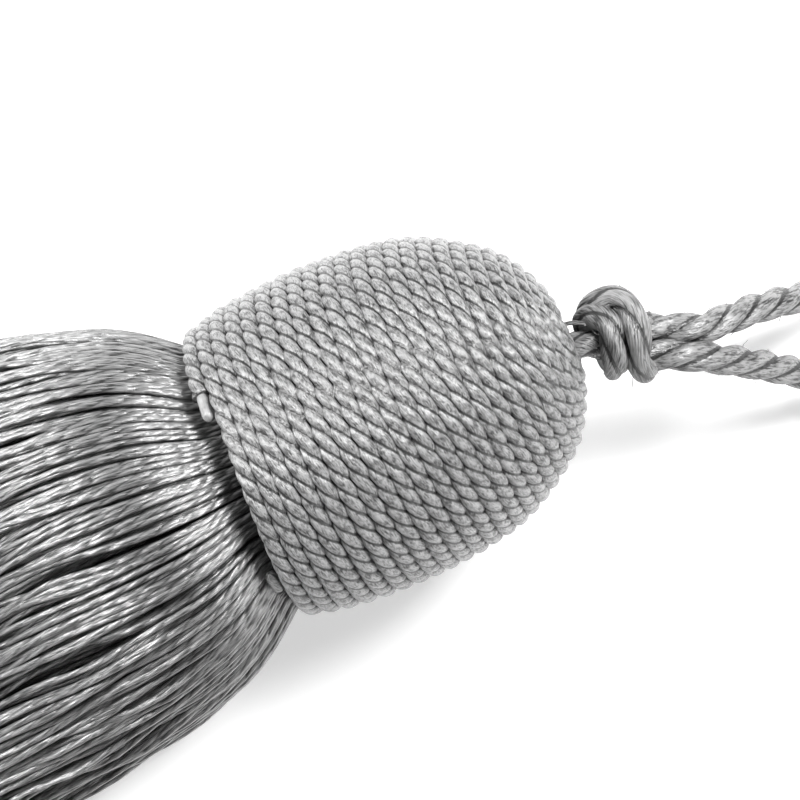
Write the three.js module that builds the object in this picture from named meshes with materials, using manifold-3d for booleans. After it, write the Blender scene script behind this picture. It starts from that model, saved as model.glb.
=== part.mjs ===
// Decorative tassel lying on its side: a head wound with three-ply cord, a skirt of
// cut yarn, and a hanging loop of three-strand rope that is knotted at the crown.
// Millimetres. +X runs from the skirt to the loop, +Z is up, and the tassel lies on z = 0.

import * as THREE from 'three';
import { mergeVertices } from 'three/addons/utils/BufferGeometryUtils.js';
import Module from 'manifold-3d';

const wasm = await Module();
wasm.setup();

const { degToRad, lerp, clamp } = THREE.MathUtils;

// Clearance between neighbouring pieces.
const GAP = 0.3;

// Head. The tassel lies with its crown a little higher than its rim.
const HEAD_LENGTH = 60;
const HEAD_TILT = degToRad(5);
const RIM_CENTRE = new THREE.Vector3(22.15, 0.66, 26.4);
// Outline over the crests of the cord, from the crown to the rim: distance from the
// rim plane along the axis, and radius.
const HEAD_OUTLINE = [
  { along: HEAD_LENGTH, radius: 2.4 },
  { along: 59.0, radius: 8.2 },
  { along: 55.6, radius: 14.8 },
  { along: 51.3, radius: 19.4 },
  { along: 42.7, radius: 24.9 },
  { along: 34.2, radius: 27.5 },
  { along: 21.4, radius: 28.7 },
  { along: 8.5, radius: 28.2 },
  { along: 0, radius: 26.3 },
];
const WRAP_TURNS = 26;
const WRAP_STEPS = 30;
const WRAP_END_ANGLE = degToRad(66);
// Places of the samples across one turn of the cord, as a share of the pitch, and how
// far each lies under the crests.
const WRAP_CRESTS = [
  { across: 0.28, under: 0.08 },
  { across: 0.72, under: 0.08 },
];
const WRAP_GROOVE_DEPTH = 0.8;
const CROWN_HOLE_DEPTH = 2.5;
const MOUTH_RADIUS = 23.6;
const MOUTH_DEPTH = 8;

// Skirt.
const ROOT_RADIUS = 23.2;
const ROOT_FACE = 3.6;
const STRAND_WIDTH = 2.1;
const STRAND_HEIGHT = 1.7;
const STRAND_LENGTH_SPREAD = 5;
const STRAND_PITCH = 3.5;
const STRAND_DRIFT = 0.22;
// Half sizes of the section that the strands are spaced evenly in, midway between the
// round root and the flat end.
const BUNDLE_HALF_WIDTH = 32.8;
const BUNDLE_HALF_HEIGHT = 15.5;
// The lowest share of the strands that ends up on the floor, the height of the pile at
// its edges, and the height of a strand's middle where it lies on the floor.
const FLOOR_SHARE = 0.07;
const EDGE_HEIGHT = 3;
const FLOOR = STRAND_HEIGHT / 2;
// Sections of the bundle: distance out of the rim, half width, heights of the lowest and
// highest strand, how round the section is, and how much it leans with the head.
const SKIRT_SECTIONS = [
  { out: -4.6, half: 21.9, low: 4.5, high: 48.3, round: 1, lean: 1 },
  { out: 1.6, half: 22.6, low: 4.1, high: 48.9, round: 1, lean: 1 },
  { out: 13, half: 30.6, low: FLOOR, high: 49, round: 0.75, lean: 0 },
  { out: 30, half: 36.6, low: FLOOR, high: 43, round: 0.4, lean: 0 },
  { out: 55, half: 42, low: FLOOR, high: 33, round: 0.15, lean: 0 },
  { out: 86, half: 46, low: FLOOR, high: 23.5, round: 0, lean: 0 },
  { out: 120, half: 49, low: FLOOR, high: 16, round: 0, lean: 0 },
];
// The strands wave a little from side to side once they are free of the rim.
const SWAY = 1.6;
const SWAY_LENGTH = 95;
const SWAY_LAG = 2;
const SWAY_FULL_AT = 60;

// Rope of the knot and the loop.
const ROPE_RADIUS = 2.4;
const ROPE_LAY = 21;
const ROPE_STRANDS = 3;
const ROPE_GROOVE = 0.74;
const ROPE_CREST_ANGLE = degToRad(26);
const ROPE_STEP = 2.05;

// Knot and loop, laid out in a plan of their own: `out` away from the head, `side` to
// the left of that, and height above the floor. The plan veers from the head's axis.
const LOOP_HEADING = degToRad(-23.5);
const KNOT_CENTRE = { along: 67.4, side: -3.2 };
const KNOT_HEIGHT = 30;
const INNER_WRAP = [
  { out: -5.0, side: 0.4, up: -2.6 },
  { out: -5.6, side: 1.8, up: 0.6 },
  { out: -4.2, side: 2.3, up: 3.4 },
  { out: -2.3, side: 1.0, up: 4.9 },
  { out: -1.5, side: -1.7, up: 5.0 },
  { out: -1.0, side: -4.6, up: 3.4 },
  { out: -0.9, side: -6.0, up: 0.2 },
  { out: -1.0, side: -4.8, up: -3.2 },
  { out: -2.2, side: -1.6, up: -4.4 },
];
const OUTER_WRAP = [
  { out: -4.6, side: 2.2, up: -3.6 },
  { out: -6.0, side: 3.6, up: -0.6 },
  { out: -4.9, side: 5.2, up: 2.0 },
  { out: -1.8, side: 6.1, up: 3.2 },
  { out: 0.9, side: 4.2, up: 4.6 },
  { out: 2.0, side: 1.2, up: 5.2 },
  { out: 2.5, side: -1.7, up: 5.1 },
  { out: 2.8, side: -4.2, up: 3.6 },
  { out: 3.9, side: -6.0, up: 1.2 },
  { out: 4.6, side: -5.8, up: -1.8 },
  { out: 3.4, side: -3.2, up: -4.2 },
  { out: 1.2, side: 0.8, up: -4.6 },
  { out: -2.0, side: 3.2, up: -4.2 },
];
const UPPER_STUB = { side: -2.7, up: 0.6 };
const LOWER_STUB = { side: -2.5, up: -3.4 };
const UPPER_CORE = [
  { out: -2.4, side: -1.6, up: 0.9 },
  { out: 2.4, side: 0.6, up: 0.6 },
  { out: 5.4, side: 1.3, up: 0.15 },
];
const LOWER_CORE = [
  { out: -2.6, side: -2.4, up: -2.6 },
  { out: 1.8, side: -3.3, up: -1.2 },
  { out: 5.4, side: -3.95, up: 0.1 },
];
const LOOP_START = 7.5;
const LOOP_ROUTE = [
  { out: 7.8, side: 1.35, height: 30 },
  { out: 12, side: 1.4, height: 29.7 },
  { out: 17, side: 2.6, height: 27.5 },
  { out: 23, side: 4.2, height: 23.7 },
  { out: 29, side: 5.5, height: 18.9 },
  { out: 35, side: 6.7, height: 13.9 },
  { out: 41, side: 7.8, height: 9.3 },
  { out: 47, side: 8.8, height: 5.7 },
  { out: 53, side: 9.6, height: 3.4 },
  { out: 60, side: 10.2, height: 2.6 },
  { out: 67, side: 10.5, height: 2.45 },
  { out: 73.5, side: 10.4, height: 2.45 },
  { out: 78.8, side: 8.98, height: 2.45 },
  { out: 82.68, side: 5.1, height: 2.45 },
  { out: 84.1, side: -0.2, height: 2.45 },
  { out: 82.68, side: -5.5, height: 2.45 },
  { out: 78.8, side: -9.38, height: 2.45 },
  { out: 73.5, side: -10.8, height: 2.45 },
  { out: 67, side: -11.0, height: 2.45 },
  { out: 60, side: -10.8, height: 2.45 },
  { out: 53, side: -10.2, height: 3.1 },
  { out: 47, side: -9.4, height: 5.1 },
  { out: 41, side: -8.4, height: 8.5 },
  { out: 35, side: -7.3, height: 13.1 },
  { out: 29, side: -6.2, height: 18.2 },
  { out: 23, side: -5.2, height: 23.2 },
  { out: 17, side: -4.5, height: 27.2 },
  { out: 12, side: -4.1, height: 29.7 },
  { out: 7.8, side: -4.0, height: 30 },
];

const YARN_COLOUR = 0xa6a6a6;
const ROPE_COLOUR = 0x9a9a9a;
const yarnFinish = (colour) =>
  new THREE.MeshStandardMaterial({ color: colour, roughness: 0.45, metalness: 0 });

// The head's own directions: along its axis to the crown, to its side, and up.
const headAxis = new THREE.Vector3(Math.cos(HEAD_TILT), 0, Math.sin(HEAD_TILT));
const headSide = new THREE.Vector3(0, 1, 0);
const headUp = new THREE.Vector3(-Math.sin(HEAD_TILT), 0, Math.cos(HEAD_TILT));

// A point given by its place along the head's axis and its two offsets from the axis.
function fromHead(along, side, up) {
  return RIM_CENTRE.clone()
    .addScaledVector(headAxis, along)
    .addScaledVector(headSide, side)
    .addScaledVector(headUp, up);
}

// A closed skin that is built point by point and face by face.
class Skin {
  constructor() {
    this.coordinates = [];
    this.faces = [];
  }

  point(place) {
    this.coordinates.push(place.x, place.y, place.z);
    return this.coordinates.length / 3 - 1;
  }

  triangle(a, b, c) {
    this.faces.push(a, b, c);
  }

  quad(a, b, c, d) {
    this.triangle(a, b, c);
    this.triangle(a, c, d);
  }

  fan(hub, rim) {
    for (let i = 0; i + 1 < rim.length; i += 1) this.triangle(hub, rim[i], rim[i + 1]);
  }

  geometry() {
    const geometry = new THREE.BufferGeometry();
    geometry.setAttribute('position', new THREE.Float32BufferAttribute(this.coordinates, 3));
    geometry.setIndex(this.faces);
    return geometry;
  }
}

// A closed geometry as a solid that can be joined to others.
function toSolid(geometry) {
  const bare = geometry.clone();
  for (const name of ['normal', 'uv']) bare.deleteAttribute(name);
  const merged = mergeVertices(bare, 1e-4);
  const mesh = new wasm.Mesh({
    numProp: 3,
    vertProperties: new Float32Array(merged.attributes.position.array),
    triVerts: new Uint32Array(merged.index.array),
  });
  return new wasm.Manifold(mesh);
}

function toGeometry(solid) {
  const mesh = solid.getMesh();
  const geometry = new THREE.BufferGeometry();
  geometry.setAttribute('position', new THREE.Float32BufferAttribute(mesh.vertProperties, 3));
  geometry.setIndex(Array.from(mesh.triVerts));
  return geometry;
}

function named(name, geometry, colour) {
  const shaded = geometry.clone();
  shaded.computeVertexNormals();
  const mesh = new THREE.Mesh(shaded, yarnFinish(colour));
  mesh.name = name;
  return mesh;
}

// The head's surface, spiralled like its cord: `step` counts steps along the cord from
// the crown, `across` is a share of the pitch, and `under` is how far the point lies
// beneath the crests. Where the crests would go below the floor the cord is pressed flat.
const headOutline = new THREE.SplineCurve(
  HEAD_OUTLINE.map((row) => new THREE.Vector2(row.along, row.radius)),
);

function onWrap(step, across, under) {
  const turn = step / WRAP_STEPS;
  const share = Math.min((turn + across) / WRAP_TURNS, 1);
  const crest = headOutline.getPointAt(share);
  const tangent = headOutline.getTangentAt(share);
  const angle = WRAP_END_ANGLE + 2 * Math.PI * turn;
  const place = (inset) => {
    const radius = crest.y + tangent.x * inset;
    const along = crest.x - tangent.y * inset;
    return fromHead(along, radius * Math.cos(angle), radius * Math.sin(angle));
  };
  const point = place(under);
  if (place(0).z < 0) point.z = 0;
  return point;
}

function buildHead() {
  const skin = new Skin();
  const strip = (WRAP_TURNS - 1) * WRAP_STEPS;
  const last = WRAP_TURNS * WRAP_STEPS;

  // Grooves run on for one turn past the strip and bound the rim.
  const groove = [];
  for (let k = 0; k <= last; k += 1) {
    groove.push(skin.point(onWrap(k, 0, WRAP_GROOVE_DEPTH)));
  }
  const crests = WRAP_CRESTS.map(({ across, under }) => {
    const line = [];
    for (let k = 0; k <= strip; k += 1) line.push(skin.point(onWrap(k, across, under)));
    return line;
  });
  const lines = [groove, ...crests];
  for (let k = 0; k < strip; k += 1) {
    for (let i = 0; i < lines.length; i += 1) {
      const inner = lines[i];
      const outer = lines[i + 1] ?? groove.slice(WRAP_STEPS);
      skin.quad(outer[k], outer[k + 1], inner[k + 1], inner[k]);
    }
  }

  // The crown's hole, with the cut start of the cord beside it.
  const hole = skin.point(fromHead(HEAD_LENGTH - CROWN_HOLE_DEPTH, 0, 0));
  skin.fan(hole, groove.slice(0, WRAP_STEPS + 1));
  skin.fan(groove[WRAP_STEPS], [crests[1][0], crests[0][0], groove[0], hole]);

  // The rim follows the last turn, then goes in to the mouth and its flat bottom.
  const mouth = [];
  const bottom = [];
  for (let k = strip; k <= last; k += 1) {
    const angle = WRAP_END_ANGLE + (2 * Math.PI * k) / WRAP_STEPS;
    const side = MOUTH_RADIUS * Math.cos(angle);
    const up = MOUTH_RADIUS * Math.sin(angle);
    const edge = headOutline.getPointAt(k / last).x;
    mouth.push(skin.point(fromHead(edge, side, up)));
    if (k < last) bottom.push(skin.point(fromHead(MOUTH_DEPTH, side, up)));
  }
  bottom.push(bottom[0]);
  for (let i = 0; i < WRAP_STEPS; i += 1) {
    skin.quad(mouth[i], mouth[i + 1], groove[strip + i + 1], groove[strip + i]);
    if (i + 1 < WRAP_STEPS) skin.quad(bottom[i], bottom[i + 1], mouth[i + 1], mouth[i]);
  }
  const end = WRAP_STEPS - 1;
  skin.fan(mouth[end], [bottom[end], bottom[0], mouth[0], mouth[end + 1]]);
  const hub = skin.point(fromHead(MOUTH_DEPTH, 0, 0));
  skin.fan(hub, [...bottom].reverse());

  // The cut end of the last turn is a step in the rim.
  skin.fan(mouth[0], [groove[strip], crests[0][strip], crests[1][strip], groove[last], mouth[end + 1]]);
  return named('head', skin.geometry(), YARN_COLOUR);
}

// A repeatable draw between -1 and 1.
function scatter(seed) {
  const value = Math.sin(seed * 127.1 + 11.7) * 43758.5453;
  return 2 * (value - Math.floor(value)) - 1;
}

// Strand places in the round root, spaced evenly in the section midway down the skirt.
function strandPlaces() {
  const places = [];
  const rowPitch = STRAND_PITCH * Math.sin(Math.PI / 3);
  const rows = Math.floor(BUNDLE_HALF_HEIGHT / rowPitch);
  const columns = Math.ceil(BUNDLE_HALF_WIDTH / STRAND_PITCH);
  for (let row = -rows; row <= rows; row += 1) {
    const shift = row % 2 === 0 ? 0 : STRAND_PITCH / 2;
    for (let column = -columns; column <= columns; column += 1) {
      const seed = places.length + 1;
      const side = column * STRAND_PITCH + shift + STRAND_DRIFT * scatter(seed);
      const up = row * rowPitch + STRAND_DRIFT * scatter(seed + 0.5);
      const across = side / BUNDLE_HALF_WIDTH;
      const upward = up / BUNDLE_HALF_HEIGHT;
      if (Math.hypot(across, upward) <= 1) places.push({ across, upward });
    }
  }
  return places;
}

// Where a strand crosses one section of the skirt.
function strandCentre(place, section, reach) {
  const chord = Math.sqrt(1 - place.across ** 2);
  const share = (place.upward / chord + 1) / 2;
  const lifted = clamp((share - FLOOR_SHARE) / (1 - FLOOR_SHARE), 0, 1);
  const middle = (section.low + section.high) / 2;
  const edge = lerp(section.low + EDGE_HEIGHT, middle, section.round);
  const bottom = section.low + (middle - section.low) * (1 - chord) * section.round;
  const top = section.high - (section.high - edge) * (1 - chord);
  const height = lerp(bottom, top, lerp(lifted, share, section.round));
  const out = section.out > 0 ? section.out * reach : section.out;
  const wave = (2 * Math.PI * section.out) / SWAY_LENGTH + SWAY_LAG * place.across;
  const loose = clamp(section.out / SWAY_FULL_AT, 0, 1);
  const side = place.across * section.half + SWAY * loose * Math.sin(wave);
  const away = new THREE.Vector3(1, 0, 0).lerp(headAxis, section.lean);
  const upward = new THREE.Vector3(0, 0, 1).lerp(headUp, section.lean);
  return RIM_CENTRE.clone()
    .addScaledVector(away, -out)
    .addScaledVector(headSide, side)
    .addScaledVector(upward, height - RIM_CENTRE.z);
}

// One strand: a three-sided bar with its flat side down.
function addStrand(skin, place, reach) {
  const rings = SKIRT_SECTIONS.map((section) => {
    const centre = strandCentre(place, section, reach);
    const corner = (side, up) => skin.point(new THREE.Vector3(centre.x, centre.y + side, centre.z + up));
    return [
      corner(-STRAND_WIDTH / 2, -STRAND_HEIGHT / 2),
      corner(STRAND_WIDTH / 2, -STRAND_HEIGHT / 2),
      corner(0, STRAND_HEIGHT / 2),
    ];
  });
  for (let i = 0; i + 1 < rings.length; i += 1) {
    for (let side = 0; side < 3; side += 1) {
      const next = (side + 1) % 3;
      skin.quad(rings[i][side], rings[i + 1][side], rings[i + 1][next], rings[i][next]);
    }
  }
  const [a, b, c] = rings[0];
  const [d, e, f] = rings[rings.length - 1];
  skin.triangle(a, b, c);
  skin.triangle(f, e, d);
}

// The bound root that the strands are fused into.
function rootSolid() {
  const front = ROOT_FACE;
  const back = MOUTH_DEPTH - GAP;
  const outline = [
    new THREE.Vector2(0, front),
    new THREE.Vector2(ROOT_RADIUS, front),
    new THREE.Vector2(ROOT_RADIUS, back),
    new THREE.Vector2(0, back),
  ];
  const disc = new THREE.LatheGeometry(outline, WRAP_STEPS);
  disc.applyMatrix4(new THREE.Matrix4().makeBasis(headUp, headAxis, headSide));
  disc.translate(RIM_CENTRE.x, RIM_CENTRE.y, RIM_CENTRE.z);
  return toSolid(disc);
}

function buildSkirt() {
  const skin = new Skin();
  const longest = SKIRT_SECTIONS[SKIRT_SECTIONS.length - 1].out;
  strandPlaces().forEach((place, index) => {
    const shorter = (STRAND_LENGTH_SPREAD * (1 + scatter(index))) / 2;
    addStrand(skin, place, 1 - shorter / longest);
  });
  const joined = rootSolid().add(toSolid(skin.geometry()));
  return named('skirt', toGeometry(joined), YARN_COLOUR);
}

// Section of the rope: one groove and two crest points for each strand.
function ropeOutline(radius) {
  const points = [];
  const turn = (2 * Math.PI) / ROPE_STRANDS;
  for (let strand = 0; strand < ROPE_STRANDS; strand += 1) {
    const start = strand * turn;
    const corners = [
      { angle: start, reach: radius * ROPE_GROOVE },
      { angle: start + turn / 2 - ROPE_CREST_ANGLE, reach: radius },
      { angle: start + turn / 2 + ROPE_CREST_ANGLE, reach: radius },
    ];
    for (const { angle, reach } of corners) {
      points.push(new THREE.Vector2(reach * Math.cos(angle), reach * Math.sin(angle)));
    }
  }
  return points;
}

// A length of rope: a straight extruded bar whose rings are turned with the lay and set
// on the curve one by one.
function ropeAlong(points) {
  const curve = new THREE.CatmullRomCurve3(points, false, 'centripetal');
  const length = curve.getLength();
  const steps = Math.max(4, Math.round(length / ROPE_STEP));
  const bar = new THREE.ExtrudeGeometry(new THREE.Shape(ropeOutline(ROPE_RADIUS)), {
    depth: steps,
    steps,
    bevelEnabled: false,
  });
  const frames = curve.computeFrenetFrames(steps, false);
  const position = bar.attributes.position;
  for (let i = 0; i < position.count; i += 1) {
    const ring = Math.round(position.getZ(i));
    const share = ring / steps;
    const turned = new THREE.Vector2(position.getX(i), position.getY(i));
    turned.rotateAround(new THREE.Vector2(), (-2 * Math.PI * length * share) / ROPE_LAY);
    const place = curve.getPointAt(share)
      .addScaledVector(frames.normals[ring], turned.x)
      .addScaledVector(frames.binormals[ring], turned.y);
    position.setXYZ(i, place.x, place.y, place.z);
  }
  return bar;
}

// A place in the plan of the knot and the loop.
function inPlan(out, side, height) {
  return new THREE.Vector3(
    RIM_CENTRE.x + KNOT_CENTRE.along + out * Math.cos(LOOP_HEADING) - side * Math.sin(LOOP_HEADING),
    RIM_CENTRE.y + KNOT_CENTRE.side + out * Math.sin(LOOP_HEADING) + side * Math.cos(LOOP_HEADING),
    height,
  );
}

const inKnot = (row) => inPlan(row.out, row.side, KNOT_HEIGHT + row.up);

// One rope from the crown through the knot to the face that a leg of the loop meets.
function coreRope(stub, core, leg) {
  return ropeAlong([
    fromHead(HEAD_LENGTH + GAP, stub.side, stub.up),
    fromHead(HEAD_LENGTH + GAP + ROPE_RADIUS / 2, stub.side, stub.up),
    ...core.map(inKnot),
    inPlan(LOOP_START, leg.side, leg.height),
  ]);
}

function buildKnot() {
  const pieces = [
    coreRope(UPPER_STUB, UPPER_CORE, LOOP_ROUTE[0]),
    coreRope(LOWER_STUB, LOWER_CORE, LOOP_ROUTE[LOOP_ROUTE.length - 1]),
    ropeAlong(INNER_WRAP.map(inKnot)),
    ropeAlong(OUTER_WRAP.map(inKnot)),
  ];
  const joined = pieces.map(toSolid).reduce((whole, piece) => whole.add(piece));
  // The ropes are pressed together, so only the outer skin is kept and no hollow is left.
  const skins = joined.decompose().sort((a, b) => b.volume() - a.volume());
  return named('knot', toGeometry(skins[0]), ROPE_COLOUR);
}

function buildLoop() {
  const route = LOOP_ROUTE.map((row) => inPlan(row.out, row.side, row.height));
  return named('loop', ropeAlong(route), ROPE_COLOUR);
}

const tassel = new THREE.Group();
tassel.add(buildHead(), buildSkirt(), buildKnot(), buildLoop());

export default tassel;
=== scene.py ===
"""Decorative tassel lying on its side: a dome head wound with three-ply cord, a full skirt
of cut yarn, and a hanging loop of three-strand rope that is knotted at the crown.

Sizes in the classes are millimetres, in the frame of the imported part: +X runs from the
skirt to the loop, +Z is up, and the tassel lies on z = 0. Meshes are built in metres.
"""

import logging
import math
from dataclasses import dataclass
from enum import Enum
from typing import Any

import bmesh
import bpy
import numpy as np
from mathutils import Matrix, Vector


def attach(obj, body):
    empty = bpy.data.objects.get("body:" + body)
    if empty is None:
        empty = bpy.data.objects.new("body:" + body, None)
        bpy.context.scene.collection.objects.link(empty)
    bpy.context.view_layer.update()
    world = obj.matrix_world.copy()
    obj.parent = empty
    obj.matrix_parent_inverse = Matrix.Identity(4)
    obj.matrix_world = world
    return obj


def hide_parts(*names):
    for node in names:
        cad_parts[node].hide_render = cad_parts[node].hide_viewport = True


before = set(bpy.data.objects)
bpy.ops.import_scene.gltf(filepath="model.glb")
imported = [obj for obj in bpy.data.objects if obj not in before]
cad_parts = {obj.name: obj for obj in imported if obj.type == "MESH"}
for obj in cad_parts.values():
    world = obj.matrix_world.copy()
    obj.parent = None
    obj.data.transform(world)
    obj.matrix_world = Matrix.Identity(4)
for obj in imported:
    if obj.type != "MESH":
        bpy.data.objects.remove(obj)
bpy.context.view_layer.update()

log = logging.getLogger("tassel")

MM = 0.001
ROOT_BODY = "root"
# Samples of each span of a curve, before they are spaced evenly.
SPAN_SAMPLES = 60
# Points nearer than this are one point, in metres: at tubes' ends, and on turned solids.
WELD_GAP = 1e-7
TURNED_GAP = 1e-6


class Twist(Enum):
    """The way a yarn or rope is laid, by the middle stroke of the letter that it looks like."""

    S = -1
    Z = 1


class Slot(Enum):
    """The record's material slots."""

    WRAP = "wrap_cord"
    SKIRT = "skirt_yarn"
    ROPE = "loop_rope"


# Small tools

def linear(colour: str) -> tuple[float, float, float, float]:
    """Turns an sRGB hex colour into linear values.

    Args:
        colour: The colour as six hex digits after a hash mark.

    Returns:
        Linear red, green and blue, and an alpha of 1.
    """
    channels = [int(colour[i : i + 2], 16) / 255 for i in (1, 3, 5)]
    toned = [c / 12.92 if c <= 0.04045 else ((c + 0.055) / 1.055) ** 2.4 for c in channels]
    return (toned[0], toned[1], toned[2], 1.0)


def add_node(
    tree: bpy.types.NodeTree, kind: str, settings: dict[str, Any], inputs: dict[Any, Any]
) -> bpy.types.Node:
    """Adds a node with its settings, values and links.

    Args:
        tree: The node tree that the node goes into.
        kind: The node's class, such as ShaderNodeMath.
        settings: The node's own properties and what they are set to.
        inputs: Input sockets by name or number, each with a value or with the socket to link.

    Returns:
        The new node.
    """
    node = tree.nodes.new(kind)
    for name, value in settings.items():
        setattr(node, name, value)
    for socket, value in inputs.items():
        if isinstance(value, bpy.types.NodeSocket):
            tree.links.new(value, node.inputs[socket])
        else:
            node.inputs[socket].default_value = value
    return node


def linked(name: str, data: bpy.types.ID) -> bpy.types.Object:
    """Makes an object and links it to the scene.

    Args:
        name: The object's name.
        data: Its mesh, curve, camera or light.

    Returns:
        The new object.
    """
    thing = bpy.data.objects.new(name, data)
    bpy.context.scene.collection.objects.link(thing)
    return thing


def smooth_route(points: np.ndarray, step: float, power: float = 0.5) -> np.ndarray:
    """Runs a Catmull-Rom curve through points and spaces its samples evenly.

    Args:
        points: The points to pass through, one in each row.
        step: The distance between samples.
        power: How the spans are timed, 0 for evenly and 0.5 for centripetal.

    Returns:
        Evenly spaced points from the first point to the last.
    """
    padded = np.vstack([2 * points[0] - points[1], points, 2 * points[-1] - points[-2]])
    spans = np.linalg.norm(np.diff(padded, axis=0), axis=1) ** power
    times = np.concatenate([[0.0], np.cumsum(spans)])
    dense = []
    for i in range(1, len(padded) - 2):
        t0, t1, t2, t3 = times[i - 1 : i + 3]
        p0, p1, p2, p3 = padded[i - 1 : i + 3]
        t = np.linspace(t1, t2, SPAN_SAMPLES, endpoint=i == len(padded) - 3)[:, None]
        a1 = (t1 - t) / (t1 - t0) * p0 + (t - t0) / (t1 - t0) * p1
        a2 = (t2 - t) / (t2 - t1) * p1 + (t - t1) / (t2 - t1) * p2
        a3 = (t3 - t) / (t3 - t2) * p2 + (t - t2) / (t3 - t2) * p3
        b1 = (t2 - t) / (t2 - t0) * a1 + (t - t0) / (t2 - t0) * a2
        b2 = (t3 - t) / (t3 - t1) * a2 + (t - t1) / (t3 - t1) * a3
        dense.append((t2 - t) / (t2 - t1) * b1 + (t - t1) / (t2 - t1) * b2)
    return even_steps(np.vstack(dense), step)


def even_steps(line: np.ndarray, step: float) -> np.ndarray:
    """Resamples a polyline in equal steps.

    Args:
        line: The polyline's points, one in each row.
        step: The distance wanted between samples.

    Returns:
        Points at even distances along the line, both ends included.
    """
    along = distances(line)
    count = max(2, round(along[-1] / step) + 1)
    wanted = np.linspace(0, along[-1], count)
    return np.column_stack([np.interp(wanted, along, line[:, k]) for k in range(line.shape[1])])


def distances(line: np.ndarray) -> np.ndarray:
    """Gives the distance of each point of a polyline from its start, along the line."""
    return np.concatenate([[0.0], np.cumsum(np.linalg.norm(np.diff(line, axis=0), axis=1))])


def smooth_step(low: float, high: float, value: np.ndarray) -> np.ndarray:
    """Rises smoothly from 0 at low to 1 at high."""
    share = np.clip((value - low) / (high - low), 0, 1)
    return share * share * (3 - 2 * share)


def lobed_section(lobes: int, radius: float, fullness: float, sides: int) -> bpy.types.Object:
    """Draws the section of a laid rope: round lobes that meet in sharp grooves.

    Args:
        lobes: The number of plies or strands.
        radius: The radius over the crests, in metres.
        fullness: The lobe's radius as a share of the section's radius.
        sides: The number of points for each lobe.

    Returns:
        A flat closed curve object, for use as a bevel object.
    """
    lobe_radius = radius * fullness
    offset = radius - lobe_radius
    half = math.pi / lobes
    corner = offset * math.cos(half) + math.sqrt(lobe_radius**2 - (offset * math.sin(half)) ** 2)
    reach = math.atan2(corner * math.sin(half), corner * math.cos(half) - offset)
    data = bpy.data.curves.new("section", "CURVE")
    data.dimensions = "2D"
    spline = data.splines.new("POLY")
    spline.points.add(lobes * sides - 1)
    for lobe in range(lobes):
        facing = (2 * lobe + 1) * half
        for i in range(sides):
            turn = facing + reach * (2 * i / sides - 1)
            x = offset * math.cos(facing) + lobe_radius * math.cos(turn)
            y = offset * math.sin(facing) + lobe_radius * math.sin(turn)
            spline.points[lobe * sides + i].co = (x, y, 0, 1)
    spline.use_cyclic_u = True
    return linked("section", data)


def rounded_ends(count: int, bluntness: float, least: float) -> np.ndarray:
    """Gives the scale of each point along a short tube with rounded ends.

    Args:
        count: The number of points.
        bluntness: How blunt the ends are, 2 for an ellipse and more for a flatter end.
        least: The square of the scale at the very ends.

    Returns:
        The scales, 1 along the middle.
    """
    share = 2 * np.linspace(0, 1, count) - 1
    return np.sqrt(np.clip(1 + least - np.abs(share) ** bluntness, least, 1))


def tubes(
    name: str,
    routes: list[np.ndarray],
    radius: float,
    roundness: int = 1,
    section: bpy.types.Object | None = None,
    tilts: list[np.ndarray] | None = None,
    swells: list[np.ndarray] | None = None,
) -> bpy.types.Object:
    """Sweeps a section along routes and turns the curves into one mesh with closed ends.

    The mesh's UV map holds the distance along each route in millimetres and the share of
    the way around it.

    Args:
        name: The new object's name.
        routes: Points of each route in metres, evenly spaced.
        radius: The tube's radius in metres, where no section is given.
        roundness: Blender's bevel resolution of a round tube.
        section: A closed curve to sweep instead of a circle.
        tilts: The section's turn at each point of each route, in radians.
        swells: The section's scale at each point of each route.

    Returns:
        The mesh object, linked to the scene.
    """
    data = bpy.data.curves.new(name, "CURVE")
    data.dimensions = "3D"
    data.use_fill_caps = True
    if section is None:
        data.bevel_depth = radius
        data.bevel_resolution = roundness
    else:
        data.bevel_mode = "OBJECT"
        data.bevel_object = section
    for index, route in enumerate(routes):
        spline = data.splines.new("POLY")
        spline.points.add(len(route) - 1)
        spline.points.foreach_set("co", np.column_stack([route, np.ones(len(route))]).ravel())
        if tilts:
            spline.points.foreach_set("tilt", tilts[index])
        swell = swells[index] if swells else np.ones(len(route))
        spline.points.foreach_set("radius", swell)
    source = linked(name + "_line", data)
    bpy.context.view_layer.update()
    mesh = bpy.data.meshes.new_from_object(source.evaluated_get(bpy.context.evaluated_depsgraph_get()))
    bpy.data.objects.remove(source)
    mesh.name = name
    mesh.shade_smooth()
    slide_uv(mesh, distances(routes[0])[-1] / MM, 0.0)
    return linked(name, mesh)


def slide_uv(mesh: bpy.types.Mesh, factor: float, shift: np.ndarray | float) -> None:
    """Stretches and shifts a mesh's first UV coordinate, which runs along its tubes.

    Args:
        mesh: The mesh, with one UV map.
        factor: What the coordinate is multiplied by.
        shift: What is then added, one number or one for each corner of the faces.
    """
    layer = mesh.uv_layers[0]
    values = np.empty(len(layer.uv) * 2, np.float32)
    layer.uv.foreach_get("vector", values)
    values[0::2] = values[0::2] * factor + shift
    layer.uv.foreach_set("vector", values)


def tell_apart(mesh: bpy.types.Mesh, count: int, points: int, shifts: np.ndarray) -> None:
    """Shifts the UV map of each of many equal tubes along it, so that no two look the same.

    Args:
        mesh: The tubes' mesh as it comes from the curves, with its end faces first.
        count: The number of tubes.
        points: The number of points along each tube.
        shifts: The distance that each tube's map is shifted by, in millimetres.
    """
    sides = len(mesh.vertices) // (count * (points + 2))
    corners = np.empty(len(mesh.loops), np.int32)
    mesh.loops.foreach_get("vertex_index", corners)
    owner = (corners - 2 * sides * count) // (points * sides)
    slide_uv(mesh, 1.0, shifts[np.maximum(owner, 0)])


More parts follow.
